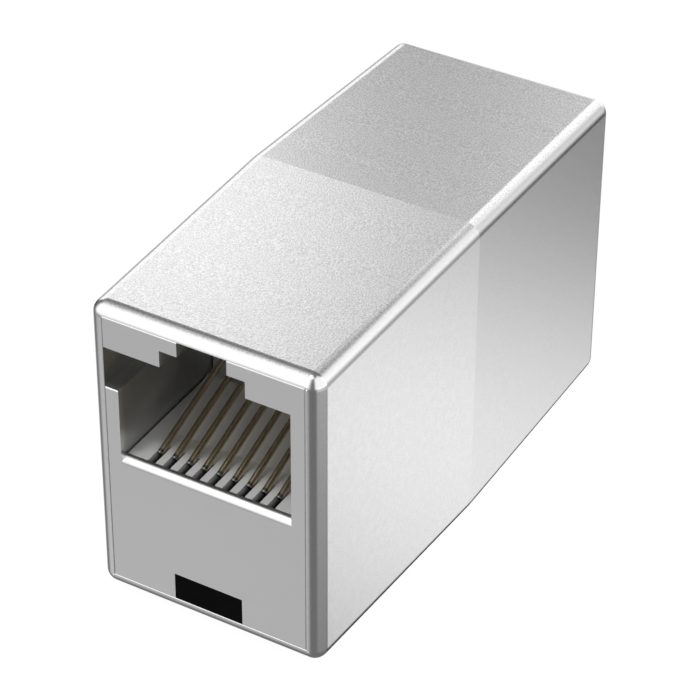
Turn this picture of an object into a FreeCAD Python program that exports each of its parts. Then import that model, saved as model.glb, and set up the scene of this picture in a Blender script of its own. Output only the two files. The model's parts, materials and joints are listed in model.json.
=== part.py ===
import FreeCAD, Part
import math
import os
import Sketcher

# RJ45 inline coupler: a plated metal sleeve that holds two jacks back to back.
#
# Frame: millimetres, +Z up, +Y along the sleeve from the front port to the rear port.
# The origin is the middle of the line on which the sleeve rests.
#
# Each jack is drawn in a port frame: Y runs from the port's face into the sleeve, and X and Z
# are the sleeve's own. A Placement then puts the jack at the front end, or turns it half round
# about Z for the rear end.

DIMENSIONS = [
    # sleeve, drafted from both ends to a crease at mid length
    ("half_length", 18.10),
    ("end_half_width", 7.86),
    ("mid_half_width", 8.14),
    ("end_bottom", 0.37),
    ("end_top", 21.36),
    ("mid_top", 21.80),
    ("edge_radius", 0.90),
    # bore of the sleeve, which the jack housings fill
    ("bore_half_width", 6.91),
    ("bore_bottom", 1.30),
    ("bore_top", 20.62),
    ("mouth_bevel", 0.03),
    # port opening and the two steps of its latch keyway
    ("port_half_width", 5.95),
    ("port_depth", 9.95),
    ("lip_top", 10.74),
    ("lip_thickness", 0.52),
    ("port_top", 18.46),
    ("latch_half_width", 2.92),
    ("latch_top", 19.61),
    ("hook_half_width", 1.70),
    ("side_key_bottom", 15.58),
    ("face_bevel", 0.06),
    ("lip_radius", 0.48),
    # notch at the foot of the face plate, and the tab that fills it
    ("notch_half_width", 2.41),
    ("notch_top", 3.25),
    ("notch_depth", 4.00),
    ("tab_setback", 0.03),
    # contact carrier: comb floor, ramp, back wall and the ledge for the circuit board
    ("carrier_front", 0.60),
    ("carrier_clearance", 0.08),
    ("carrier_bottom", 8.10),
    ("floor_front", 10.70),
    ("floor_rear", 10.98),
    ("ramp_start", 3.38),
    ("ramp_end", 7.90),
    ("ramp_half_width", 4.88),
    ("back_wall_thickness", 2.05),
    ("ledge_end", 14.20),
    # comb and contacts
    ("contact_count", 9),
    ("contact_pitch", 1.046),
    ("contact_radius", 0.21),
    ("slot_width", 0.55),
    ("slot_end", 2.28),
    ("slot_bottom", 9.60),
    ("tip_depth", 1.465),
    ("tip_height", 10.72),
    ("tip_bevel", 0.08),
    ("contact_slope", 20.4),
    ("knee_radius", 0.80),
    ("tail_end", 17.00),
    # circuit board between the two jacks
    ("board_bottom", 13.775),
    ("board_thickness", 1.00),
    ("board_front", 13.20),
    # how far a cut runs past a face that it opens
    ("overshoot", 1.00),
]


class Size:
    """A length with its value and the expression that binds it to the sheet."""

    def __init__(self, value, text):
        self.value = value
        self.text = text

    def __neg__(self):
        return Size(-self.value, "-(" + self.text + ")")

    def __add__(self, other):
        return Size(self.value + other.value, "(" + self.text + " + " + other.text + ")")

    def __sub__(self, other):
        return Size(self.value - other.value, "(" + self.text + " - " + other.text + ")")

    def times(self, factor):
        return Size(self.value * factor, "(" + self.text + ") * " + str(factor))


ZERO = Size(0.0, "0")


def make_sheet(doc):
    """Spreadsheet of the driving dimensions, and a Size for each of its aliases."""
    sheet = doc.addObject("Spreadsheet::Sheet", "Dimensions")
    sizes = {}
    for row, (alias, value) in enumerate(DIMENSIONS, start=1):
        sheet.set("A" + str(row), alias)
        sheet.set("B" + str(row), str(value))
        sheet.setAlias("B" + str(row), alias)
        sizes[alias] = Size(value, "Dimensions." + alias)
    doc.recompute()
    return sizes


def new_body(doc, label):
    body = doc.addObject("PartDesign::Body", label)
    body.Label = label
    doc.recompute()
    return body


def origin_feature(body, role):
    return next(item for item in body.Origin.OriginFeatures if item.Role == role)


def bind(obj, prop, size):
    obj.setExpression(prop, size.text)


def new_sketch(body, name, plane, offset=ZERO):
    """Sketch on one of the body's origin planes, moved along that plane's normal by offset."""
    sketch = body.newObject("Sketcher::SketchObject", name)
    sketch.AttachmentSupport = (origin_feature(body, plane), [""])
    sketch.MapMode = "FlatFace"
    sketch.AttachmentOffset.Base.z = offset.value
    if offset is not ZERO:
        bind(sketch, ".AttachmentOffset.Base.z", offset)
    return sketch


def pin_coordinate(sketch, kind, geometry, vertex, size):
    """Hold one coordinate of a vertex at a size of the sheet."""
    index = sketch.addConstraint(Sketcher.Constraint(kind, -1, 1, geometry, vertex, size.value))
    sketch.setExpression("Constraints[" + str(index) + "]", size.text)


def draw_outline(sketch, corners):
    """Closed outline of straight edges through corners given as pairs of Sizes."""
    first = sketch.GeometryCount
    count = len(corners)
    for index, (across, up) in enumerate(corners):
        next_across, next_up = corners[(index + 1) % count]
        start = FreeCAD.Vector(across.value, up.value, 0)
        end = FreeCAD.Vector(next_across.value, next_up.value, 0)
        sketch.addGeometry(Part.LineSegment(start, end), False)
    for index in range(count):
        following = first + (index + 1) % count
        sketch.addConstraint(Sketcher.Constraint("Coincident", first + index, 2, following, 1))
    for index, (across, up) in enumerate(corners):
        pin_coordinate(sketch, "DistanceX", first + index, 1, across)
        pin_coordinate(sketch, "DistanceY", first + index, 1, up)


def draw_rectangle(sketch, left, right, low, high):
    draw_outline(sketch, [(left, low), (right, low), (right, high), (left, high)])


def draw_circle(sketch, across, up, radius):
    """Circle whose centre and radius are held by the sheet."""
    centre = FreeCAD.Vector(across.value, up.value, 0)
    circle = sketch.addGeometry(Part.Circle(centre, FreeCAD.Vector(0, 0, 1), radius.value), False)
    pin_coordinate(sketch, "DistanceX", circle, 3, across)
    pin_coordinate(sketch, "DistanceY", circle, 3, up)
    index = sketch.addConstraint(Sketcher.Constraint("Radius", circle, radius.value))
    sketch.setExpression("Constraints[" + str(index) + "]", radius.text)


def pad(body, name, sketch, length, symmetric=False, reversed_way=False):
    feature = body.newObject("PartDesign::Pad", name)
    feature.Profile = sketch
    feature.SideType = "Symmetric" if symmetric else "One side"
    feature.Reversed = reversed_way
    bind(feature, "Length", length)
    return feature


def pocket(body, name, sketch, length=None, symmetric=False):
    """Cut away from the sketch's normal, to a length or through all."""
    feature = body.newObject("PartDesign::Pocket", name)
    feature.Profile = sketch
    feature.SideType = "Symmetric" if symmetric else "One side"
    if length is None:
        feature.Type = "ThroughAll"
    else:
        bind(feature, "Length", length)
    return feature


def repeat_along_x(body, name, feature, sizes):
    """The feature, drawn at the first contact, repeated for every contact of the port."""
    pattern = body.newObject("PartDesign::LinearPattern", name)
    pattern.Originals = [feature]
    pattern.Direction = (origin_feature(body, "X_Axis"), [""])
    bind(pattern, "Length", last_contact_x(sizes) - first_contact_x(sizes))
    bind(pattern, "Occurrences", sizes["contact_count"])
    body.Tip = pattern
    return pattern


def last_contact_x(sizes):
    """Place of the last contact across the port, whose contacts are centred on it."""
    gaps = "(Dimensions.contact_count - 1)"
    pitch = sizes["contact_pitch"]
    value = (sizes["contact_count"].value - 1) * pitch.value / 2
    return Size(value, "(" + gaps + " * " + pitch.text + " / 2)")


def first_contact_x(sizes):
    return -last_contact_x(sizes)


def edge_names(shape, wanted):
    return ["Edge" + str(i) for i, edge in enumerate(shape.Edges, start=1) if wanted(edge)]


def vertex_depths(edge):
    return [vertex.Y for vertex in edge.Vertexes]


def make_shell(doc, sizes):
    """Drafted sleeve with rounded long edges and rims, bored straight through."""
    body = new_body(doc, "shell")
    half_length = sizes["half_length"]

    side = new_sketch(body, "shell_side_profile", "YZ_Plane")
    draw_outline(side, [
        (-half_length, sizes["end_bottom"]),
        (ZERO, ZERO),
        (ZERO, sizes["mid_top"]),
        (-half_length, sizes["end_top"]),
    ])
    block = pad(body, "shell_block", side, sizes["mid_half_width"].times(2), symmetric=True)

    # the plan is a frame: its inner outline is the sleeve, its outer one lies outside the block
    plan = new_sketch(body, "shell_plan", "XY_Plane")
    clear_width = sizes["mid_half_width"] + sizes["overshoot"]
    clear_length = half_length + sizes["overshoot"]
    draw_rectangle(plan, -clear_width, clear_width, -clear_length, sizes["overshoot"])
    draw_outline(plan, [
        (-sizes["end_half_width"], -half_length),
        (sizes["end_half_width"], -half_length),
        (sizes["mid_half_width"], ZERO),
        (-sizes["mid_half_width"], ZERO),
    ])
    sides = pocket(body, "shell_side_draft", plan, symmetric=True)
    doc.recompute()

    rounded = body.newObject("PartDesign::Fillet", "shell_rounded_edges")
    outer_edges = edge_names(sides.Shape, lambda edge: min(vertex_depths(edge)) < -1e-3)
    rounded.Base = (sides, outer_edges)
    bind(rounded, "Radius", sizes["edge_radius"])

    bevel = sizes["mouth_bevel"]
    mouth = new_sketch(body, "shell_mouth_outline", "XZ_Plane", half_length)
    draw_rectangle(
        mouth,
        -(sizes["bore_half_width"] + bevel),
        sizes["bore_half_width"] + bevel,
        sizes["bore_bottom"] - bevel,
        sizes["bore_top"] + bevel,
    )
    mouth_bevel = pocket(body, "shell_mouth_bevel", mouth, bevel)
    mouth_bevel.TaperAngle = -45

    both_halves = body.newObject("PartDesign::Mirrored", "shell_both_halves")
    both_halves.TransformMode = "Whole shape"
    both_halves.MirrorPlane = (origin_feature(body, "XZ_Plane"), [""])
    body.Tip = both_halves

    bore = new_sketch(body, "shell_bore_section", "XZ_Plane")
    draw_rectangle(
        bore,
        -sizes["bore_half_width"],
        sizes["bore_half_width"],
        sizes["bore_bottom"],
        sizes["bore_top"],
    )
    bored = pocket(body, "shell_bore", bore, symmetric=True)
    return body, block, bored


def port_outline(sizes):
    """Opening seen from the front: plug body, two latch steps, and the side key on the left."""
    side = sizes["port_half_width"]
    latch = sizes["latch_half_width"]
    hook = sizes["hook_half_width"]
    past_side = -(sizes["bore_half_width"] + sizes["overshoot"])
    past_top = sizes["bore_top"] + sizes["overshoot"]
    return [
        (-side, sizes["lip_top"]),
        (side, sizes["lip_top"]),
        (side, sizes["port_top"]),
        (latch, sizes["port_top"]),
        (latch, sizes["latch_top"]),
        (hook, sizes["latch_top"]),
        (hook, past_top),
        (-hook, past_top),
        (-hook, sizes["latch_top"]),
        (-latch, sizes["latch_top"]),
        (-latch, sizes["port_top"]),
        (past_side, sizes["port_top"]),
        (past_side, sizes["side_key_bottom"]),
        (-side, sizes["side_key_bottom"]),
    ]


def lies_on_face(edge):
    return max(map(abs, vertex_depths(edge))) < 1e-3


def lies_at_height(edge, size):
    return all(abs(vertex.Z - size.value) < 1e-3 for vertex in edge.Vertexes)


def is_lip_edge(edge, sizes):
    """The face's edge along the foot of the port."""
    return lies_on_face(edge) and lies_at_height(edge, sizes["lip_top"])


def is_bevelled_edge(edge, sizes):
    """The face's edges at the sleeve, and the two under the side key."""
    side = sizes["bore_half_width"].value
    at_side = all(abs(abs(vertex.X) - side) < 1e-3 for vertex in edge.Vertexes)
    heights = [sizes["bore_bottom"], sizes["bore_top"], sizes["side_key_bottom"]]
    at_height = any(lies_at_height(edge, height) for height in heights)
    port_side = -sizes["port_half_width"].value
    inside_port = all(abs(vertex.X - port_side) < 1e-3 for vertex in edge.Vertexes)
    under_key = inside_port and lies_at_height(edge, sizes["side_key_bottom"])
    return under_key or (lies_on_face(edge) and (at_side or at_height))


def make_jack_housing(doc, sizes, label):
    """Block that fills half of the bore, with the port, the carrier's channel and the notch."""
    body = new_body(doc, label)

    face = new_sketch(body, label + "_face", "XZ_Plane")
    draw_rectangle(
        face,
        -sizes["bore_half_width"],
        sizes["bore_half_width"],
        sizes["bore_bottom"],
        sizes["bore_top"],
    )
    block = pad(body, label + "_block", face, sizes["half_length"], reversed_way=True)

    opening = new_sketch(body, label + "_port_outline", "XZ_Plane")
    draw_outline(opening, port_outline(sizes))
    pocket(body, label + "_port", opening, sizes["port_depth"])

    channel = new_sketch(body, label + "_channel_section", "XZ_Plane", -sizes["lip_thickness"])
    draw_rectangle(
        channel,
        -sizes["port_half_width"],
        sizes["port_half_width"],
        sizes["carrier_bottom"],
        sizes["port_top"],
    )
    pocket(body, label + "_channel", channel)

    notch = new_sketch(body, label + "_notch_outline", "XZ_Plane")
    draw_rectangle(
        notch,
        -sizes["notch_half_width"],
        sizes["notch_half_width"],
        sizes["bore_bottom"] - sizes["overshoot"],
        sizes["notch_top"],
    )
    notched = pocket(body, label + "_notch", notch, sizes["notch_depth"])
    doc.recompute()

    lip = body.newObject("PartDesign::Fillet", label + "_rounded_lip")
    lip.Base = (notched, edge_names(notched.Shape, lambda edge: is_lip_edge(edge, sizes)))
    bind(lip, "Radius", sizes["lip_radius"])
    doc.recompute()

    bevel = body.newObject("PartDesign::Chamfer", label + "_face_bevel")
    bevel.Base = (lip, edge_names(lip.Shape, lambda edge: is_bevelled_edge(edge, sizes)))
    bind(bevel, "Size", sizes["face_bevel"])
    return body, block, bevel


def tilt_to_contact(sketch, sizes):
    """Lay an XZ sketch square across the sloping part of the contact, at its tip."""
    slope = sizes["contact_slope"]
    tip = FreeCAD.Vector(0, sizes["tip_height"].value, -sizes["tip_depth"].value)
    turn = FreeCAD.Rotation(FreeCAD.Vector(1, 0, 0), slope.value)
    sketch.AttachmentOffset = FreeCAD.Placement(tip, turn)
    bind(sketch, ".AttachmentOffset.Base.y", sizes["tip_height"])
    bind(sketch, ".AttachmentOffset.Base.z", -sizes["tip_depth"])
    bind(sketch, ".AttachmentOffset.Rotation.Angle", slope)


def make_contact_carrier(doc, sizes, label):
    """Comb floor, ramp and back wall of the port, with a ledge behind for the circuit board."""
    body = new_body(doc, label)
    wall_rear = sizes["port_depth"] + sizes["back_wall_thickness"]

    profile = new_sketch(body, label + "_profile", "YZ_Plane")
    draw_outline(profile, [
        (sizes["carrier_front"], sizes["carrier_bottom"]),
        (sizes["half_length"], sizes["carrier_bottom"]),
        (sizes["half_length"], sizes["floor_rear"]),
        (sizes["ledge_end"], sizes["floor_rear"]),
        (sizes["ledge_end"], sizes["board_bottom"]),
        (wall_rear, sizes["board_bottom"]),
        (wall_rear, sizes["port_top"]),
        (sizes["port_depth"], sizes["port_top"]),
        (sizes["port_depth"], sizes["floor_rear"]),
        (sizes["carrier_front"], sizes["floor_front"]),
    ])
    half_width = sizes["port_half_width"] - sizes["carrier_clearance"]
    pad(body, label + "_block", profile, half_width.times(2), symmetric=True)

    ramp = new_sketch(body, label + "_ramp_profile", "YZ_Plane")
    ramp_length = sizes["ramp_end"] - sizes["ramp_start"]
    slope = sizes["contact_slope"]
    ramp_rise = Size(
        ramp_length.value * math.tan(math.radians(slope.value)),
        ramp_length.text + " * tan(" + slope.text + " * 1 deg)",
    )
    draw_outline(ramp, [
        (sizes["ramp_start"], sizes["floor_front"]),
        (sizes["ramp_end"], sizes["floor_front"]),
        (sizes["ramp_end"], sizes["floor_front"] + ramp_rise),
    ])
    solid = pad(body, label + "_ramp", ramp, sizes["ramp_half_width"].times(2), symmetric=True)

    half_slot = sizes["slot_width"].times(0.5)
    slot = new_sketch(body, label + "_slot_outline", "XY_Plane", sizes["floor_rear"])
    draw_rectangle(
        slot,
        first_contact_x(sizes) - half_slot,
        first_contact_x(sizes) + half_slot,
        sizes["carrier_front"] - sizes["overshoot"],
        sizes["slot_end"],
    )
    slot_depth = sizes["floor_rear"] - sizes["slot_bottom"]
    slot_cut = pocket(body, label + "_slot", slot, slot_depth)
    repeat_along_x(body, label + "_comb", slot_cut, sizes)

    passage = new_sketch(body, label + "_passage_section", "XZ_Plane")
    tilt_to_contact(passage, sizes)
    half_passage = sizes["contact_radius"]
    draw_rectangle(
        passage,
        first_contact_x(sizes) - half_passage,
        first_contact_x(sizes) + half_passage,
        -half_passage,
        half_passage,
    )
    passage_cut = pocket(body, label + "_passage", passage)
    passages = repeat_along_x(body, label + "_passages", passage_cut, sizes)
    return body, solid, passages


def draw_contact_path(sketch, sizes):
    """Centre line of a contact: slope, knee, and a level tail that lies on the board."""
    slope = math.radians(sizes["contact_slope"].value)
    radius = sizes["knee_radius"]
    tail_height = sizes["board_bottom"] + sizes["board_thickness"] + sizes["contact_radius"]
    tip = FreeCAD.Vector(sizes["tip_depth"].value, sizes["tip_height"].value, 0)
    rise = tail_height.value - tip.y
    knee = FreeCAD.Vector(tip.x + rise / math.tan(slope), tail_height.value, 0)
    setback = radius.value * math.tan(slope / 2)
    slope_end = knee - FreeCAD.Vector(math.cos(slope), math.sin(slope), 0) * setback
    tail_start = knee + FreeCAD.Vector(setback, 0, 0)
    tail_end = FreeCAD.Vector(sizes["tail_end"].value, tail_height.value, 0)
    centre = tail_start - FreeCAD.Vector(0, radius.value, 0)
    circle = Part.Circle(centre, FreeCAD.Vector(0, 0, 1), radius.value)
    quarter = math.pi / 2

    sketch.addGeometry(Part.LineSegment(tip, slope_end), False)
    sketch.addGeometry(Part.ArcOfCircle(circle, quarter, quarter + slope), False)
    sketch.addGeometry(Part.LineSegment(tail_start, tail_end), False)
    incline, bend, tail = range(3)
    sketch.addConstraint(Sketcher.Constraint("Tangent", incline, 2, bend, 2))
    sketch.addConstraint(Sketcher.Constraint("Tangent", bend, 1, tail, 1))
    sketch.addConstraint(Sketcher.Constraint("Horizontal", tail))
    pin_coordinate(sketch, "DistanceX", incline, 1, sizes["tip_depth"])
    pin_coordinate(sketch, "DistanceY", incline, 1, sizes["tip_height"])
    pin_coordinate(sketch, "DistanceX", tail, 2, sizes["tail_end"])
    pin_coordinate(sketch, "DistanceY", tail, 2, tail_height)
    index = sketch.addConstraint(Sketcher.Constraint("Radius", bend, radius.value))
    sketch.setExpression("Constraints[" + str(index) + "]", radius.text)
    index = sketch.addConstraint(Sketcher.Constraint("Angle", incline, slope))
    sketch.setExpression("Constraints[" + str(index) + "]", sizes["contact_slope"].text + " * 1 deg")


def is_tip_edge(edge, sizes):
    """The rim of the wire's free end, the only edge wholly in front of this depth."""
    return max(vertex_depths(edge)) < sizes["tip_depth"].value + sizes["contact_radius"].value


def make_contact(doc, sizes, label):
    """Round spring wire with a bevelled tip, drawn on the port's middle plane."""
    body = new_body(doc, label)
    path = new_sketch(body, label + "_path", "YZ_Plane")
    draw_contact_path(path, sizes)
    section = new_sketch(body, label + "_section", "XZ_Plane")
    tilt_to_contact(section, sizes)
    draw_circle(section, ZERO, ZERO, sizes["contact_radius"])
    wire = body.newObject("PartDesign::AdditivePipe", label + "_wire")
    wire.Profile = section
    wire.Spine = path
    doc.recompute()

    tip = body.newObject("PartDesign::Chamfer", label + "_tip_bevel")
    tip.Base = (wire, edge_names(wire.Shape, lambda edge: is_tip_edge(edge, sizes)))
    bind(tip, "Size", sizes["tip_bevel"])
    return body


def make_lock_tab(doc, sizes, label):
    """Black tab that fills the notch, set back a little from the face."""
    body = new_body(doc, label)
    face = new_sketch(body, label + "_face", "XZ_Plane", -sizes["tab_setback"])
    draw_rectangle(
        face,
        -sizes["notch_half_width"],
        sizes["notch_half_width"],
        sizes["bore_bottom"],
        sizes["notch_top"],
    )
    length = sizes["notch_depth"] - sizes["tab_setback"]
    pad(body, label + "_block", face, length, reversed_way=True)
    return body


def make_circuit_board(doc, sizes):
    """Board on the ledges of both carriers, to whose top the contacts' tails are soldered."""
    body = new_body(doc, "circuit_board")
    half_board = sizes["half_length"] - sizes["board_front"]
    outline = new_sketch(body, "board_outline", "XY_Plane", sizes["board_bottom"])
    side = sizes["port_half_width"]
    draw_rectangle(outline, -side, side, -half_board, half_board)
    pad(body, "board_plate", outline, sizes["board_thickness"])
    return body


def place(body, end, across=ZERO):
    """Move a piece from the port frame to the front end, or half round to the rear end."""
    if end == "front":
        body.Placement = FreeCAD.Placement()
        bind(body, ".Placement.Base.x", across)
        bind(body, ".Placement.Base.y", Size(0.0, "-Dimensions.half_length"))
        return
    half_turn = FreeCAD.Rotation(FreeCAD.Vector(0, 0, 1), 180)
    body.Placement = FreeCAD.Placement(FreeCAD.Vector(0, 0, 0), half_turn)
    bind(body, ".Placement.Base.x", -across)
    bind(body, ".Placement.Base.y", Size(0.0, "Dimensions.half_length"))


def make_jack(doc, sizes, end):
    """All pieces of one jack: housing, carrier, lock tab and contacts."""
    housing, housing_block, housing_end = make_jack_housing(doc, sizes, end + "_jack_housing")
    carrier, carrier_solid, carrier_end = make_contact_carrier(doc, sizes, end + "_contact_carrier")
    tab = make_lock_tab(doc, sizes, end + "_lock_tab")
    for body in (housing, carrier, tab):
        place(body, end)
    cuts = [(housing_block, housing_end), (carrier_solid, carrier_end)]

    contacts = []
    for number in range(1, int(sizes["contact_count"].value) + 1):
        contact = make_contact(doc, sizes, end + "_contact_" + str(number))
        steps = number - 1
        pitch = sizes["contact_pitch"]
        across = first_contact_x(sizes) + pitch.times(steps)
        place(contact, end, across)
        contacts.append(contact)
    return [housing, carrier, tab] + contacts, cuts


def check_document(doc):
    for obj in doc.Objects:
        failed = [state for state in obj.State if state in ("Invalid", "Error")]
        if failed:
            raise RuntimeError(obj.Name + " did not recompute: " + ", ".join(failed))


def check_cuts(cuts):
    """Every cut has to leave less than the block it started from."""
    for block, cut in cuts:
        if cut.Shape.Volume >= block.Shape.Volume:
            raise RuntimeError(cut.Name + " removed nothing from " + block.Name)


def write_parts(bodies):
    for body in bodies:
        if body.Shape.isNull() or not body.Shape.isValid():
            raise RuntimeError(body.Label + " has no valid shape")
    os.makedirs("parts", exist_ok=True)
    for body in bodies:
        body.Shape.exportStep("parts/" + body.Label + ".step")


def main():
    doc = FreeCAD.newDocument("inline_coupler")
    sizes = make_sheet(doc)
    shell, shell_block, shell_end = make_shell(doc, sizes)
    front, front_cuts = make_jack(doc, sizes, "front")
    rear, rear_cuts = make_jack(doc, sizes, "rear")
    board = make_circuit_board(doc, sizes)
    doc.recompute()
    check_document(doc)
    check_cuts([(shell_block, shell_end)] + front_cuts + rear_cuts)
    bodies = [shell, board] + front + rear
    write_parts(bodies)
    for body in bodies:
        box = body.Shape.BoundBox
        print(body.Label, round(body.Shape.Volume, 3), box)


main()
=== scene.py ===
"""Looks of the RJ45 inline coupler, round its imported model.

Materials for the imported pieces, a pale floor, soft studio light, and a camera at the
photograph's viewing angle. Lengths are in metres, or in millimetres where a name ends in
_mm or _MM. Directions are seen from the object: azimuth 0 is behind it (+Y), 90 is to its
right (+X), and 180 is in front of it.
"""
import json
import math

import bpy
from mathutils import Matrix, Vector


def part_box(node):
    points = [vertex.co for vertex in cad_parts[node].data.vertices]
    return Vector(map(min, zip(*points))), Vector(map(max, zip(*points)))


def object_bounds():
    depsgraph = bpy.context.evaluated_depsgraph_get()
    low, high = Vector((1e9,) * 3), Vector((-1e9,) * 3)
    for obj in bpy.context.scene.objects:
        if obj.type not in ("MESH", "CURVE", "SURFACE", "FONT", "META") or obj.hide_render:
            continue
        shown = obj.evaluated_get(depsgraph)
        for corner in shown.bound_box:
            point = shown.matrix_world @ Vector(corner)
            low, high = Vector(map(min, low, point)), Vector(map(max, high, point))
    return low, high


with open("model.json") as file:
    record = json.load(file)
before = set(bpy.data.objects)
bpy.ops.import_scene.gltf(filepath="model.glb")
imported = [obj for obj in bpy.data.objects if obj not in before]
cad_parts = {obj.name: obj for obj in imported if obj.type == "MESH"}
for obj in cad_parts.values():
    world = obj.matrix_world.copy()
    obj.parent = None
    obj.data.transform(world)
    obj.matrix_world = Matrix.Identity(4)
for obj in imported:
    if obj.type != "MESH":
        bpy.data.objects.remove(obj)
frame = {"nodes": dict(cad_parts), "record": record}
cad_low, cad_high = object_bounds()

MM = 0.001
HALF_LENGTH = cad_high[1]

# Depths behind the nearer end of the coupler. On the face plates the silver keeps its full tone,
# deeper in the ports painted shade darkens it, and the wires are dark at their tips.
PLATE_DEPTH = 0.1 * MM
WALL_DEPTH = 0.6 * MM
wire_depth = HALF_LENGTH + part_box("front_contact_1")[0][1]
TIP_DEPTH = wire_depth + 0.18 * MM
SHANK_DEPTH = wire_depth + 0.28 * MM

# Heights between which painted shade goes from black in the slots of the comb up to the grey of
# its floor.
carrier_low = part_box("front_contact_carrier")[0][2]
SLOT_FOOT = carrier_low + 1.8 * MM
SLOT_TOP = carrier_low + 2.5 * MM

# Upward part of the normal on the underside, on upright faces, where an edge starts to round
# over to the top, and on the top itself.
UNDERSIDE = -0.6
UPRIGHT = -0.3
ROUNDED = 0.75
LEVEL = 0.97

# Most of a noise texture's values lie between these.
NOISE_LOW = 0.3
NOISE_HIGH = 0.7
NOISE_MIDDLE = 0.5


def direction(azimuth, elevation):
    """Unit vector towards an azimuth and an elevation, both in degrees."""
    around = math.radians(azimuth)
    upward = math.radians(elevation)
    return Vector((
        math.sin(around) * math.cos(upward),
        math.cos(around) * math.cos(upward),
        math.sin(upward),
    ))


# ---------------------------------------------------------------- node helpers

def feed(tree, socket, value):
    """Set a socket to a number, or link the output of a node to it."""
    if isinstance(value, (int, float)):
        socket.default_value = value
    else:
        tree.links.new(value, socket)


def new_material(name):
    """An empty node material with its output node."""
    material = bpy.data.materials.new(name)
    material.use_nodes = True
    tree = material.node_tree
    tree.nodes.clear()
    output = tree.nodes.new("ShaderNodeOutputMaterial")
    return material, tree, output


def principled(tree, output, metallic, roughness):
    """Shader of a surface, whose roughness is a number or the output of a node."""
    shader = tree.nodes.new("ShaderNodeBsdfPrincipled")
    shader.inputs["Metallic"].default_value = metallic
    feed(tree, shader.inputs["Roughness"], roughness)
    tree.links.new(shader.outputs["BSDF"], output.inputs["Surface"])
    return shader


def math_node(tree, operation, *inputs):
    """The result of a Math node, each of whose inputs is a number or an output."""
    node = tree.nodes.new("ShaderNodeMath")
    node.operation = operation
    for socket, value in zip(node.inputs, inputs):
        feed(tree, socket, value)
    return node.outputs[0]


def fade(tree, value, start, end, low, high):
    """low where the value is start or less, high from where it is end, and soft between."""
    node = tree.nodes.new("ShaderNodeMapRange")
    node.interpolation_type = "SMOOTHSTEP"
    node.inputs["From Min"].default_value = start
    node.inputs["From Max"].default_value = end
    node.inputs["To Min"].default_value = low
    node.inputs["To Max"].default_value = high
    tree.links.new(value, node.inputs["Value"])
    return node.outputs["Result"]


def noise(tree, feature_mm, detail=2.0):
    """Noise whose features are about feature_mm across, on the object's own coordinates."""
    coordinates = tree.nodes.new("ShaderNodeTexCoord")
    texture = tree.nodes.new("ShaderNodeTexNoise")
    texture.inputs["Scale"].default_value = 1 / (feature_mm * MM)
    texture.inputs["Detail"].default_value = detail
    tree.links.new(coordinates.outputs["Object"], texture.inputs["Vector"])
    return texture.outputs["Fac"]


def varied(tree, feature_mm, low, high):
    """A value that wanders between low and high, with features about feature_mm across."""
    node = tree.nodes.new("ShaderNodeMapRange")
    node.inputs["From Min"].default_value = NOISE_LOW
    node.inputs["From Max"].default_value = NOISE_HIGH
    node.inputs["To Min"].default_value = low
    node.inputs["To Max"].default_value = high
    tree.links.new(noise(tree, feature_mm), node.inputs["Value"])
    return node.outputs["Result"]


def bump(tree, shader, height, depth_mm, strength=1.0):
    """Relief depth_mm deep, whose strength is a number or the output of a node."""
    node = tree.nodes.new("ShaderNodeBump")
    feed(tree, node.inputs["Strength"], strength)
    node.inputs["Distance"].default_value = depth_mm * MM
    tree.links.new(height, node.inputs["Height"])
    tree.links.new(node.outputs["Normal"], shader.inputs["Normal"])


def shade_colour(tree, shader, dark, light, value):
    """Base colour that goes from one tone to another as a value goes from 0 to 1."""
    mix = tree.nodes.new("ShaderNodeMix")
    mix.data_type = "RGBA"
    mix.inputs["A"].default_value = (*dark, 1)
    mix.inputs["B"].default_value = (*light, 1)
    tree.links.new(value, mix.inputs["Factor"])
    tree.links.new(mix.outputs["Result"], shader.inputs["Base Color"])


def coordinate(tree, kind, axis):
    """One axis of the object's own coordinates, in metres, or of its normals."""
    coordinates = tree.nodes.new("ShaderNodeTexCoord")
    split = tree.nodes.new("ShaderNodeSeparateXYZ")
    tree.links.new(coordinates.outputs[kind], split.inputs["Vector"])
    return split.outputs[axis]


def facing_up(tree, low, high):
    """high on the faces that face upward, and low on all others."""
    return fade(tree, coordinate(tree, "Normal", "Z"), ROUNDED, LEVEL, low, high)


def facing_down(tree, low, high):
    """high on the faces that face downward, and low on all others."""
    return fade(tree, coordinate(tree, "Normal", "Z"), UNDERSIDE, UPRIGHT, high, low)


def height_fade(tree, foot, top, low, high):
    """low up to the height foot above the floor, and high from the height top upward."""
    return fade(tree, coordinate(tree, "Object", "Z"), foot, top, low, high)


def depth_fade(tree, shallow, deep, outside, inside):
    """outside up to shallow behind the nearer end, and inside from deep inward."""
    along = math_node(tree, "ABSOLUTE", coordinate(tree, "Object", "Y"))
    depth = math_node(tree, "SUBTRACT", HALF_LENGTH, along)
    return fade(tree, depth, shallow, deep, outside, inside)


# ------------------------------------------------------------------- materials

def plated_metal():
    """Satin plating of the sleeve, whose fine blasted grain shows most on its top: as bump, and
    as a random tone whose contrast is raised on upward faces, a painted sparkle.
    """
    material, tree, output = new_material("plated_metal")
    shader = principled(tree, output, 1.0, varied(tree, 0.5, 0.19, 0.21))
    grain = noise(tree, 0.11, detail=1.0)
    bump(tree, shader, grain, 0.0035, facing_up(tree, 0.08, 1.0))
    # Painted sparkle: the grain's random tone swings five times as wide on faces that face up.
    painted_sparkle_contrast = facing_up(tree, 0.6, 3.0)
    grain_and_painted_sparkle = math_node(tree, "SUBTRACT", grain, NOISE_MIDDLE)
    grain_and_painted_sparkle = math_node(tree, "MULTIPLY", grain_and_painted_sparkle, painted_sparkle_contrast)
    grain_and_painted_sparkle = math_node(tree, "ADD", grain_and_painted_sparkle, NOISE_MIDDLE)
    shade_colour(tree, shader, (0.74, 0.74, 0.74), (1.0, 1.0, 1.0), grain_and_painted_sparkle)
    return material


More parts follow.
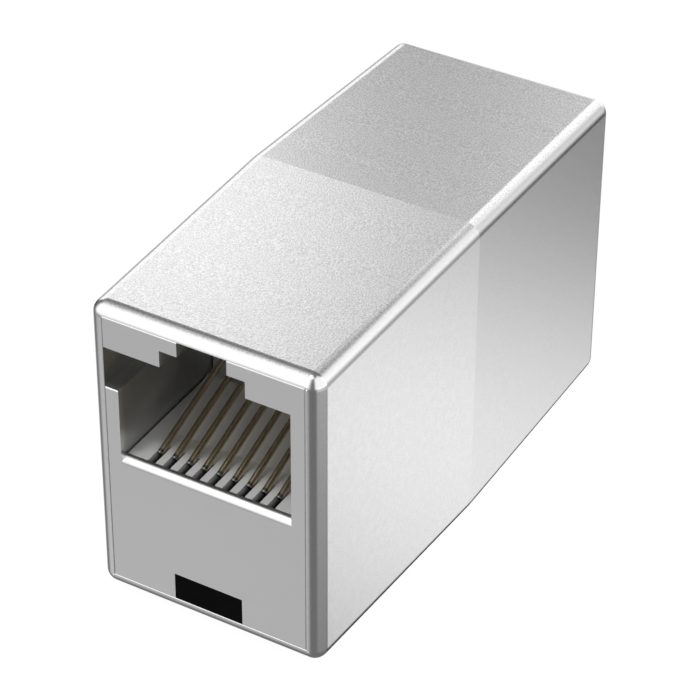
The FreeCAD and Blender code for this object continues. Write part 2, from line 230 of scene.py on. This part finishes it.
def silver_plastic():
    """Metallised moulding of the jack: bright on its face plate, with painted shade that darkens
    its tone inside the port, and most on whatever faces downward."""
    material, tree, output = new_material("silver_plastic")
    shader = principled(tree, output, 1.0, varied(tree, 0.8, 0.29, 0.31))
    # Painted shade: darker deeper in the port, and darkest on faces that face downward.
    painted_lightness = depth_fade(tree, PLATE_DEPTH, WALL_DEPTH, 1.0, 0.35)
    painted_lightness = math_node(tree, "MULTIPLY", painted_lightness, facing_down(tree, 1.0, 0.0))
    shade_colour(tree, shader, (0.45, 0.45, 0.44), (0.86, 0.86, 0.86), painted_lightness)
    return material


def carrier_plastic():
    """Grey moulding under the wires, with painted shade that makes it black down in the slots of
    its comb.
    """
    material, tree, output = new_material("carrier_plastic")
    shader = principled(tree, output, 0.0, varied(tree, 0.6, 0.36, 0.46))
    bump(tree, shader, noise(tree, 0.6), 0.0006)
    # Painted shade: black low in the slots, fading to the plastic's grey above them.
    painted_slot_shade = height_fade(tree, SLOT_FOOT, SLOT_TOP, 0, 1)
    shade_colour(tree, shader, (0.02, 0.02, 0.02), (0.64, 0.64, 0.63), painted_slot_shade)
    return material


def contact_wire():
    """Bronze spring wire with a dark cut tip."""
    material, tree, output = new_material("contact_wire")
    shader = principled(tree, output, 1.0, varied(tree, 0.9, 0.24, 0.26))
    at_tip = depth_fade(tree, TIP_DEPTH, SHANK_DEPTH, 1, 0)
    shade_colour(tree, shader, (0.7, 0.61, 0.44), (0.22, 0.22, 0.21), at_tip)
    return material


def board_laminate():
    """Green laminate of the circuit board, slightly uneven."""
    material, tree, output = new_material("board_laminate")
    shader = principled(tree, output, 0.0, 0.4)
    bump(tree, shader, noise(tree, 0.4), 0.003)
    shade_colour(tree, shader, (0.025, 0.14, 0.06), (0.04, 0.19, 0.085), noise(tree, 0.8))
    return material


def tab_plastic():
    """Near-black surface of the lock tabs, with hardly a highlight."""
    material, tree, output = new_material("tab_plastic")
    shader = principled(tree, output, 0.0, 0.6)
    shader.inputs["Specular IOR Level"].default_value = 0.04
    bump(tree, shader, noise(tree, 0.2), 0.002)
    shade_colour(tree, shader, (0.0015, 0.0015, 0.0015), (0.003, 0.003, 0.003), noise(tree, 0.5))
    return material


MATERIALS = {
    "shell_metal": plated_metal(),
    "housing_silver": silver_plastic(),
    "carrier_plastic": carrier_plastic(),
    "contact_metal": contact_wire(),
    "board_laminate": board_laminate(),
    "tab_plastic": tab_plastic(),
}


def dress_nodes():
    """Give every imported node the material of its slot."""
    for part in frame["record"]["subparts"]:
        node = frame["nodes"][part["node"]]
        material = MATERIALS[part["material_slot"]]
        for slot in node.material_slots:
            slot.material = material


dress_nodes()


# ----------------------------------------------------------------------- floor

FLOOR_HALF_WIDTH = 1.5
FLOOR_TONE = (0.9, 0.9, 0.9, 1)
WHITE_STRENGTH = 1.06
WHITE_SHARE = 0.9


def floor_material():
    """Matt and pale, and nearly white to the camera, which still sees a faint shadow."""
    material, tree, output = new_material("pale_floor")
    matt = tree.nodes.new("ShaderNodeBsdfDiffuse")
    matt.inputs["Color"].default_value = FLOOR_TONE
    white = tree.nodes.new("ShaderNodeEmission")
    white.inputs["Color"].default_value = (1, 1, 1, 1)
    white.inputs["Strength"].default_value = WHITE_STRENGTH
    rays = tree.nodes.new("ShaderNodeLightPath")
    share = math_node(tree, "MULTIPLY", rays.outputs["Is Camera Ray"], WHITE_SHARE)
    mix = tree.nodes.new("ShaderNodeMixShader")
    tree.links.new(share, mix.inputs[0])
    tree.links.new(matt.outputs[0], mix.inputs[1])
    tree.links.new(white.outputs[0], mix.inputs[2])
    tree.links.new(mix.outputs[0], output.inputs["Surface"])
    return material


def make_floor():
    """Square sheet that the coupler rests on.

    The metal's upright faces mirror downward, and the photograph has soft greys and thin dark
    lines there. The low panels and flags of the world give those, so the floor is hidden from
    glossy rays.
    """
    half = FLOOR_HALF_WIDTH
    low = cad_low[2]
    corners = [(-half, -half, low), (half, -half, low), (half, half, low), (-half, half, low)]
    mesh = bpy.data.meshes.new("floor")
    mesh.from_pydata(corners, [], [(0, 1, 2, 3)])
    mesh.materials.append(floor_material())
    floor = bpy.data.objects.new("floor", mesh)
    bpy.context.scene.collection.objects.link(floor)
    floor.visible_glossy = False


make_floor()


# ------------------------------------------------------------------ soft light

# Soft panels all round the object, which its metal mirrors. Each has the azimuth and the
# elevation of its middle, its half width and half height, and the softness of its edges, all
# in degrees, and then its brightness. A flag is a dark panel, which takes light away. ROOM is
# the brightness between the panels.
PANELS = {
    "left": (-49.5, 23, 18, 17, 3, 0.98),
    "left_flag": (-65, -12, 9, 11, 5, -0.45),
    "behind": (19, 17, 41, 23, 10, 0.97),
    "high_behind": (-10, 40, 20, 4, 20, 0.90),
    "low_behind": (-16, -20, 7, 14, 13, 0.54),
    "right": (74, -21, 56, 16, 8, 0.40),
    "high_right": (98, 30, 44, 42, 5, 0.90),
    "right_flag": (30, -7, 6, 35, 16, -0.83),
    "low_right": (33, -33, 7, 7, 4, 0.51),
    "low_right_rear": (21, -39.5, 15, 5, 3, 0.78),
    "edge_flag": (-11, -43, 24, 7, 4, -0.68),
    "front": (-141, 23, 37, 35, 16, 1.10),
    "low_front": (-135, -42, 31, 11, 17, 0.50),
    "low_left": (-31, -27, 32, 23, 24, 0.57),
    "overhead": (-113, 67, 46, 4, 22, 0.81),
}
ROOM = 0.16


def soft_window(tree, angle, centre, half, softness):
    """1 within half of centre, and 0 beyond it, with an edge that is softness wide."""
    offset = math_node(tree, "ABSOLUTE", math_node(tree, "SUBTRACT", angle, math.radians(centre)))
    edge_start = math.radians(half - softness)
    edge_end = math.radians(half + softness)
    return fade(tree, offset, edge_start, edge_end, 1.0, 0.0)


def make_world():
    """Dim room with the panels in it, held at zero where a flag would take too much."""
    world = bpy.data.worlds.new("studio")
    bpy.context.scene.world = world
    world.use_nodes = True
    tree = world.node_tree
    tree.nodes.clear()
    output = tree.nodes.new("ShaderNodeOutputWorld")
    background = tree.nodes.new("ShaderNodeBackground")
    coordinates = tree.nodes.new("ShaderNodeTexCoord")
    total = ROOM
    for azimuth, elevation, half_width, half_height, softness, brightness in PANELS.values():
        turn = tree.nodes.new("ShaderNodeVectorRotate")
        turn.rotation_type = "Z_AXIS"
        turn.inputs["Angle"].default_value = math.radians(azimuth)
        tree.links.new(coordinates.outputs["Generated"], turn.inputs["Vector"])
        split = tree.nodes.new("ShaderNodeSeparateXYZ")
        tree.links.new(turn.outputs["Vector"], split.inputs["Vector"])
        around = math_node(tree, "ARCTAN2", split.outputs["X"], split.outputs["Y"])
        upward = math_node(tree, "ARCSINE", split.outputs["Z"])
        across = soft_window(tree, around, 0, half_width, softness)
        along = soft_window(tree, upward, elevation, half_height, softness)
        panel = math_node(tree, "MULTIPLY", across, along)
        light = math_node(tree, "MULTIPLY", panel, brightness)
        total = math_node(tree, "ADD", light, total)
    total = math_node(tree, "MAXIMUM", total, 0.0)
    tree.links.new(total, background.inputs["Color"])
    tree.links.new(background.outputs[0], output.inputs["Surface"])


make_world()


KEY_DIRECTION = direction(-150, 72)
KEY_STRENGTH = 0.7
KEY_SOFTNESS_DEG = 10


def make_key_light():
    """Soft light from high in front, a little to the left, that reaches into the port."""
    data = bpy.data.lights.new("key", "SUN")
    data.energy = KEY_STRENGTH
    data.angle = math.radians(KEY_SOFTNESS_DEG)
    key = bpy.data.objects.new("key", data)
    key.rotation_euler = KEY_DIRECTION.to_track_quat("Z", "Y").to_euler()
    bpy.context.scene.collection.objects.link(key)


make_key_light()


# ---------------------------------------------------------------------- camera

CAMERA_AZIMUTH_DEG = 149.44
CAMERA_ELEVATION_DEG = 35.48
CAMERA_ROLL_DEG = 0.31
CAMERA_DISTANCE_MM = 185.35
CAMERA_AIM_MM = Vector((-0.35, -0.86, 10.11))  # the point in the middle of the picture
LENS_MM = 151.23
SENSOR_MM = 36


def make_camera():
    """Long lens from the front, right and above."""
    data = bpy.data.cameras.new("camera")
    data.sensor_width = SENSOR_MM
    data.lens = LENS_MM
    data.clip_start = 0.01
    data.clip_end = 10
    camera = bpy.data.objects.new("camera", data)
    bpy.context.scene.collection.objects.link(camera)

    back = direction(CAMERA_AZIMUTH_DEG, CAMERA_ELEVATION_DEG)
    level_right = Vector((0, 0, 1)).cross(back).normalized()
    level_up = back.cross(level_right)
    roll = math.radians(CAMERA_ROLL_DEG)
    right = level_right * math.cos(roll) + level_up * math.sin(roll)
    up = back.cross(right)
    turn = Matrix((right, up, back)).transposed().to_4x4()
    place = (CAMERA_AIM_MM + back * CAMERA_DISTANCE_MM) * MM
    camera.matrix_world = Matrix.Translation(place) @ turn
    bpy.context.scene.camera = camera


make_camera()

scene = bpy.context.scene
scene.view_settings.view_transform = "Standard"
